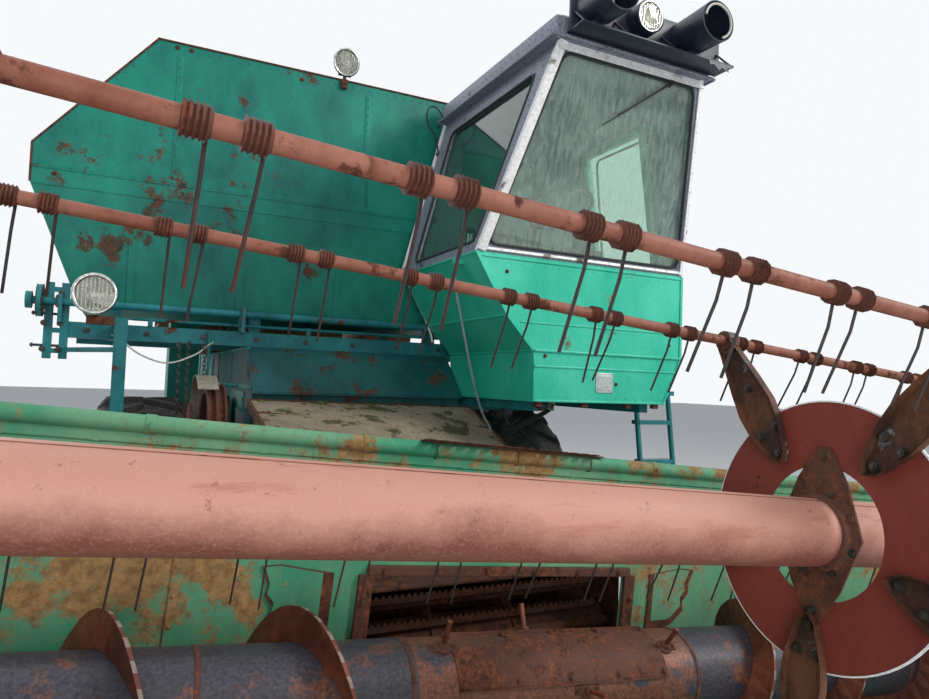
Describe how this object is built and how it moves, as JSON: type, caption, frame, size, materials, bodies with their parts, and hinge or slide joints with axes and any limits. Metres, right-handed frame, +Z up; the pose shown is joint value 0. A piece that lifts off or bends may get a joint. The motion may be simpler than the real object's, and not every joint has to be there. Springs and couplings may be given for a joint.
{
  "type": "combine harvester",
  "caption": "Self-propelled combine harvester with a wide grain header and tined reel, side cab, raised grain tank, straw hood and steered rear axle.",
  "frame": {"origin": "centre of the footprint's bounding box at ground level", "axes": "+X towards the machine's left, where the cab and its door are, +Y towards the rear, +Z up; the header faces -Y"},
  "size_m": [5.3176, 8.08, 3.6499],
  "materials": {
    "green_paint": "faded gloss with rust",
    "frame_paint": "faded gloss with rust",
    "header_paint": "faded, heavily rusted",
    "cab_paint": "faded gloss",
    "cab_shell": "speckled matt",
    "visor_plastic": "matt",
    "glass": "dusty",
    "interior_plastic": "matt",
    "rusty_steel": "rusted",
    "dark_steel": "oily",
    "bright_steel": "satin",
    "galvanised": "dull",
    "reel_primer": "faded primer",
    "bat_paint": "rusted",
    "auger_steel": "worn, rusted",
    "cover_steel": "mossy and rusted",
    "engine_paint": "oily",
    "shoe_paint": "faded",
    "rim_paint": "faded gloss",
    "tyre_rubber": "worn",
    "lamp_metal": "dull",
    "hose_rubber": "worn",
    "cable_sheath": "dull",
    "drive_steel": "dusty, worn bright at the rims"
  },
  "bodies": {
    "machine": {"chassis": "green_paint", "front_axle": "frame_paint", "rear_axle": "frame_paint", "thresher_body": "green_paint", "straw_hood": "green_paint", "straw_walkers": "galvanised", "cleaning_shoe": "shoe_paint", "grain_tank": "green_paint", "tank_frame": "frame_paint", "engine_block": "engine_paint", "engine_fittings": "engine_paint", "elevators": "green_paint", "side_drives": "drive_steel", "hydraulic_hose_1": "hose_rubber", "hydraulic_hose_2": "hose_rubber", "control_cable": "cable_sheath", "cab_base": "cab_paint", "cab_frame": "cab_shell", "cab_roof": "cab_shell", "cab_glass": "glass", "cab_interior": "interior_plastic", "work_lamps": "lamp_metal", "ladder": "frame_paint"},
    "shaft": {"tank_shaft": "frame_paint"},
    "door": {"cab_door": "cab_paint", "door_glass": "glass"},
    "unloader": {"unloading_auger": "frame_paint"},
    "feeder": {"feeder_house": "rusty_steel", "feeder_cover": "cover_steel", "feeder_conveyor": "rusty_steel"},
    "feeder_drive": {"feeder_shaft": "rusty_steel"},
    "barrels": {"lift_barrels": "frame_paint"},
    "rods": {"lift_rods": "bright_steel"},
    "header": {"header_trough": "header_paint", "header_sides": "header_paint", "cutterbar": "rusty_steel"},
    "blade": {"knife": "dark_steel"},
    "auger": {"header_auger": "auger_steel"},
    "arms": {"reel_arms": "frame_paint"},
    "reel_cyl": {"reel_barrels": "frame_paint"},
    "reel_rod": {"reel_rods": "bright_steel"},
    "reel": {"reel_tube": "reel_primer", "reel_spiders": "reel_primer"},
    "ring": {"reel_ring": "dark_steel"},
    "bat1": {"bat_1": "bat_paint"},
    "bat2": {"bat_2": "bat_paint"},
    "bat3": {"bat_3": "bat_paint"},
    "bat4": {"bat_4": "bat_paint"},
    "bat5": {"bat_5": "bat_paint"},
    "wheel_fl": {"front_tyre_l": "tyre_rubber", "front_rim_l": "rim_paint"},
    "wheel_fr": {"front_tyre_r": "tyre_rubber", "front_rim_r": "rim_paint"},
    "steer_l": {"knuckle_l": "dark_steel"},
    "steer_r": {"knuckle_r": "dark_steel"},
    "tie": {"tie_rod": "dark_steel"},
    "wheel_rl": {"rear_tyre_l": "tyre_rubber", "rear_rim_l": "rim_paint"},
    "wheel_rr": {"rear_tyre_r": "tyre_rubber", "rear_rim_r": "rim_paint"}
  },
  "joints": [
    {"name": "front_left_roll", "type": "hinge", "parent": "machine", "child": "wheel_fl", "pos_m": [1.158, 0.05, 0.695], "axis": [1, 0, 0], "continuous": true},
    {"name": "front_right_roll", "type": "hinge", "parent": "machine", "child": "wheel_fr", "pos_m": [-1.242, 0.05, 0.695], "axis": [1, 0, 0], "continuous": true},
    {"name": "steer_left", "type": "hinge", "parent": "machine", "child": "steer_l", "pos_m": [0.858, 3.4, 0.475], "axis": [0, 0, 1], "range_deg": [-35, 35]},
    {"name": "steer_right", "type": "hinge", "parent": "machine", "child": "steer_r", "pos_m": [-0.942, 3.4, 0.475], "axis": [0, 0, 1], "range_deg": [-35, 35]},
    {"name": "tie_rod_pin", "type": "hinge", "parent": "steer_l", "child": "tie", "pos_m": [0.858, 3.58, 0.353], "axis": [0, 0, 1], "range_deg": [-35, 35]},
    {"name": "rear_left_roll", "type": "hinge", "parent": "steer_l", "child": "wheel_rl", "pos_m": [1.078, 3.4, 0.475], "axis": [1, 0, 0], "continuous": true},
    {"name": "rear_right_roll", "type": "hinge", "parent": "steer_r", "child": "wheel_rr", "pos_m": [-1.162, 3.4, 0.475], "axis": [1, 0, 0], "continuous": true},
    {"name": "tank_shaft_turn", "type": "hinge", "parent": "machine", "child": "shaft", "pos_m": [-0.042, -0.195, 1.895], "axis": [1, 0, 0], "continuous": true},
    {"name": "cab_door_swing", "type": "hinge", "parent": "machine", "child": "door", "pos_m": [1.642, -0.482, 1.885], "axis": [0, 0, 1], "range_deg": [0, 75]},
    {"name": "unloader_swing", "type": "hinge", "parent": "machine", "child": "unloader", "pos_m": [1.378, 1.18, 2.59], "axis": [0, 0, -1], "range_deg": [0, 95]},
    {"name": "feeder_lift", "type": "hinge", "parent": "machine", "child": "feeder", "pos_m": [-0.042, -0.61, 1.24], "axis": [-1, 0, 0], "range_deg": [0, 18], "deforming": ["control_cable"]},
    {"name": "feeder_shaft_turn", "type": "hinge", "parent": "machine", "child": "feeder_drive", "pos_m": [-0.042, -0.61, 1.24], "axis": [1, 0, 0], "continuous": true},
    {"name": "lift_barrel_swing", "type": "hinge", "parent": "machine", "child": "barrels", "pos_m": [-0.042, -0.14, 0.6], "axis": [-1, 0, 0], "range_deg": [-1, 13]},
    {"name": "lift_rod_slide", "type": "slide", "parent": "barrels", "child": "rods", "axis": [0, -0.9926, -0.1212], "range_m": [0, 0.21]},
    {"name": "header_tilt", "type": "hinge", "parent": "feeder", "child": "header", "pos_m": [-0.042, -2.05, 0.31], "axis": [0, 1, 0], "range_deg": [-10.4, 0]},
    {"name": "knife_stroke", "type": "slide", "parent": "header", "child": "blade", "axis": [0.9959, 0, -0.0906], "range_m": [-0.038, 0.038]},
    {"name": "auger_turn", "type": "hinge", "parent": "header", "child": "auger", "pos_m": [-0.042, -2.49, 0.56], "axis": [0.9959, 0, -0.0906], "continuous": true},
    {"name": "reel_lift", "type": "hinge", "parent": "header", "child": "arms", "pos_m": [0.02552, -2.25, 1.30193], "axis": [-0.9959, 0, 0.0906], "range_deg": [0, 18]},
    {"name": "reel_barrel_swing", "type": "hinge", "parent": "header", "child": "reel_cyl", "pos_m": [-0.03656, -2.59, 0.61975], "axis": [-0.9959, 0, 0.0906], "range_deg": [-1, 8]},
    {"name": "reel_rod_slide", "type": "slide", "parent": "reel_cyl", "child": "reel_rod", "axis": [0.0782, -0.5057, 0.8591], "range_m": [0, 0.2]},
    {"name": "reel_turn", "type": "hinge", "parent": "arms", "child": "reel", "pos_m": [0.01836, -3.336, 1.22326], "axis": [0.9959, 0, -0.0906], "continuous": true},
    {"name": "ring_turn", "type": "hinge", "parent": "arms", "child": "ring", "pos_m": [0.01836, -3.406, 1.22326], "axis": [0.9959, 0, -0.0906], "continuous": true},
    {"name": "bat_1_turn", "type": "hinge", "parent": "reel", "child": "bat1", "pos_m": [0.06071, -3.68806, 1.68854], "axis": [0.9959, 0, -0.0906], "continuous": true},
    {"name": "bat_2_turn", "type": "hinge", "parent": "reel", "child": "bat2", "pos_m": [0.06179, -3.00046, 1.70049], "axis": [0.9959, 0, -0.0906], "continuous": true},
    {"name": "bat_3_turn", "type": "hinge", "parent": "reel", "child": "bat3", "pos_m": [0.00286, -2.77656, 1.05293], "axis": [0.9959, 0, -0.0906], "continuous": true},
    {"name": "bat_4_turn", "type": "hinge", "parent": "reel", "child": "bat4", "pos_m": [-0.03465, -3.32579, 0.64075], "axis": [0.9959, 0, -0.0906], "continuous": true},
    {"name": "bat_5_turn", "type": "hinge", "parent": "reel", "child": "bat5", "pos_m": [0.0011, -3.88913, 1.03358], "axis": [0.9959, 0, -0.0906], "continuous": true}
  ],
  "couplings": [
    {"joint": "steer_right", "follows": "steer_left", "ratio": 1},
    {"joint": "tie_rod_pin", "follows": "steer_left", "ratio": -1},
    {"joint": "lift_barrel_swing", "follows": "feeder_lift", "ratio": 0.67732},
    {"joint": "lift_rod_slide", "follows": "feeder_lift", "m_per_rad": 0.64521},
    {"joint": "reel_barrel_swing", "follows": "reel_lift", "ratio": 0.40455},
    {"joint": "reel_rod_slide", "follows": "reel_lift", "m_per_rad": 0.612},
    {"joint": "ring_turn", "follows": "reel_turn", "ratio": 1},
    {"joint": "bat_1_turn", "follows": "reel_turn", "ratio": -1},
    {"joint": "bat_2_turn", "follows": "reel_turn", "ratio": -1},
    {"joint": "bat_3_turn", "follows": "reel_turn", "ratio": -1},
    {"joint": "bat_4_turn", "follows": "reel_turn", "ratio": -1},
    {"joint": "bat_5_turn", "follows": "reel_turn", "ratio": -1}
  ]
}
